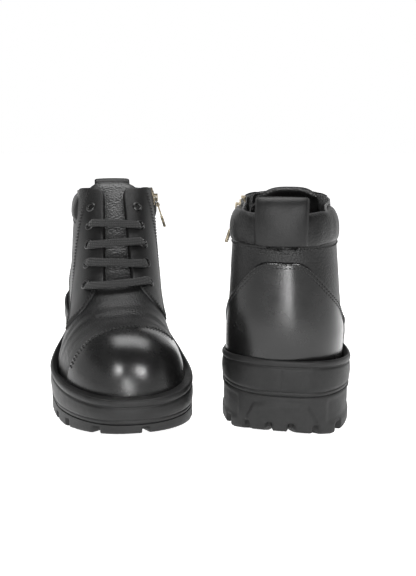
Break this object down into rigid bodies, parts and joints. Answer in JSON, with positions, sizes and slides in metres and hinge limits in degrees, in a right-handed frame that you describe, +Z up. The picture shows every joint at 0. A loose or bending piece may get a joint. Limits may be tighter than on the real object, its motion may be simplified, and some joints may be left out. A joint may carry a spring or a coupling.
{
  "type": "work boots",
  "caption": "Pair of black leather work boots with a laced front, a side zip, a padded collar, a heel pull loop and a lugged rubber sole.",
  "frame": {"origin": "on the ground, in the middle of the pair's bounding box", "axes": "+Z up, +Y depth of the standing pair, from boot a's toe towards its heel, +X across the pair from boot a to boot b"},
  "size_m": [0.2826, 0.3214, 0.174],
  "materials": {
    "tread_rubber": "matte moulded rubber",
    "sole_rubber": "matte moulded rubber with a fine texture",
    "fibre_board": "pressed fibre board",
    "foam": "cloth-covered foam",
    "steel": "plain steel",
    "smooth_leather": "smooth polished black leather",
    "grain_leather": "pebble-grained black leather",
    "fleece": "black fleece",
    "lace_cord": "flat woven black lace",
    "black_plastic": "black plastic",
    "eyelet_metal": "black lacquered brass",
    "tape_fabric": "black woven zip tape",
    "zip_metal": "antique brass"
  },
  "bodies": {
    "boot_a": {"boot_a_outsole": "tread_rubber", "boot_a_midsole": "sole_rubber", "boot_a_insole_board": "fibre_board", "boot_a_footbed": "foam", "boot_a_shank": "steel", "boot_a_safety_toe": "steel", "boot_a_toe_cap": "smooth_leather", "boot_a_vamp": "grain_leather", "boot_a_quarter_lateral": "grain_leather", "boot_a_quarter_medial_front": "grain_leather", "boot_a_quarter_medial_rear": "grain_leather", "boot_a_facing_lateral": "smooth_leather", "boot_a_facing_medial": "smooth_leather", "boot_a_heel_stiffener": "fibre_board", "boot_a_heel_counter": "smooth_leather", "boot_a_collar_pad": "grain_leather", "boot_a_lining": "fleece", "boot_a_tongue": "grain_leather", "boot_a_pull_loop": "smooth_leather", "boot_a_lace": "lace_cord", "boot_a_aglets": "black_plastic", "boot_a_eyelets_lateral": "eyelet_metal", "boot_a_eyelets_medial": "eyelet_metal", "boot_a_zip_tape": "tape_fabric", "boot_a_zip_teeth": "zip_metal", "boot_a_zip_stops": "zip_metal", "boot_a_zip_guard": "smooth_leather"},
    "boot_a_slider_body": {"boot_a_zip_slider": "zip_metal"},
    "boot_a_link_body": {"boot_a_zip_link": "zip_metal"},
    "boot_a_pull_body": {"boot_a_zip_pull": "zip_metal"},
    "boot_b": {"boot_b_outsole": "tread_rubber", "boot_b_midsole": "sole_rubber", "boot_b_insole_board": "fibre_board", "boot_b_footbed": "foam", "boot_b_shank": "steel", "boot_b_safety_toe": "steel", "boot_b_toe_cap": "smooth_leather", "boot_b_vamp": "grain_leather", "boot_b_quarter_lateral": "grain_leather", "boot_b_quarter_medial_front": "grain_leather", "boot_b_quarter_medial_rear": "grain_leather", "boot_b_facing_lateral": "smooth_leather", "boot_b_facing_medial": "smooth_leather", "boot_b_heel_stiffener": "fibre_board", "boot_b_heel_counter": "smooth_leather", "boot_b_collar_pad": "grain_leather", "boot_b_lining": "fleece", "boot_b_tongue": "grain_leather", "boot_b_pull_loop": "smooth_leather", "boot_b_lace": "lace_cord", "boot_b_aglets": "black_plastic", "boot_b_eyelets_lateral": "eyelet_metal", "boot_b_eyelets_medial": "eyelet_metal", "boot_b_zip_tape": "tape_fabric", "boot_b_zip_teeth": "zip_metal", "boot_b_zip_stops": "zip_metal", "boot_b_zip_guard": "smooth_leather"},
    "boot_b_slider_body": {"boot_b_zip_slider": "zip_metal"},
    "boot_b_link_body": {"boot_b_zip_link": "zip_metal"},
    "boot_b_pull_body": {"boot_b_zip_pull": "zip_metal"}
  },
  "joints": [
    {"name": "boot_b_lift", "type": "slide", "parent": "boot_a", "child": "boot_b", "axis": [0, 0, 1], "range_m": [0, 0.25]},
    {"name": "boot_a_zip", "type": "slide", "parent": "boot_a", "child": "boot_a_slider_body", "axis": [0.0302, 0.1515, -0.988], "range_m": [0, 0.08]},
    {"name": "boot_a_link_swing", "type": "hinge", "parent": "boot_a_slider_body", "child": "boot_a_link_body", "pos_m": [-0.04647, 0.05339, 0.15466], "axis": [0.1448, -0.9787, -0.1457], "range_deg": [0, 110]},
    {"name": "boot_a_pull_swing", "type": "hinge", "parent": "boot_a_link_body", "child": "boot_a_pull_body", "pos_m": [-0.04448, 0.05472, 0.14765], "axis": [0.1448, -0.9787, -0.1457], "range_deg": [0, 40]},
    {"name": "boot_b_zip", "type": "slide", "parent": "boot_b", "child": "boot_b_slider_body", "axis": [-0.0767, -0.1341, -0.988], "range_m": [0, 0.08]},
    {"name": "boot_b_link_swing", "type": "hinge", "parent": "boot_b_slider_body", "child": "boot_b_link_body", "pos_m": [0.028, -0.04305, 0.15466], "axis": [0.1732, 0.9741, -0.1457], "range_deg": [0, 110]},
    {"name": "boot_b_pull_swing", "type": "hinge", "parent": "boot_b_link_body", "child": "boot_b_pull_body", "pos_m": [0.02569, -0.04368, 0.14765], "axis": [0.1732, 0.9741, -0.1457], "range_deg": [0, 40]}
  ]
}
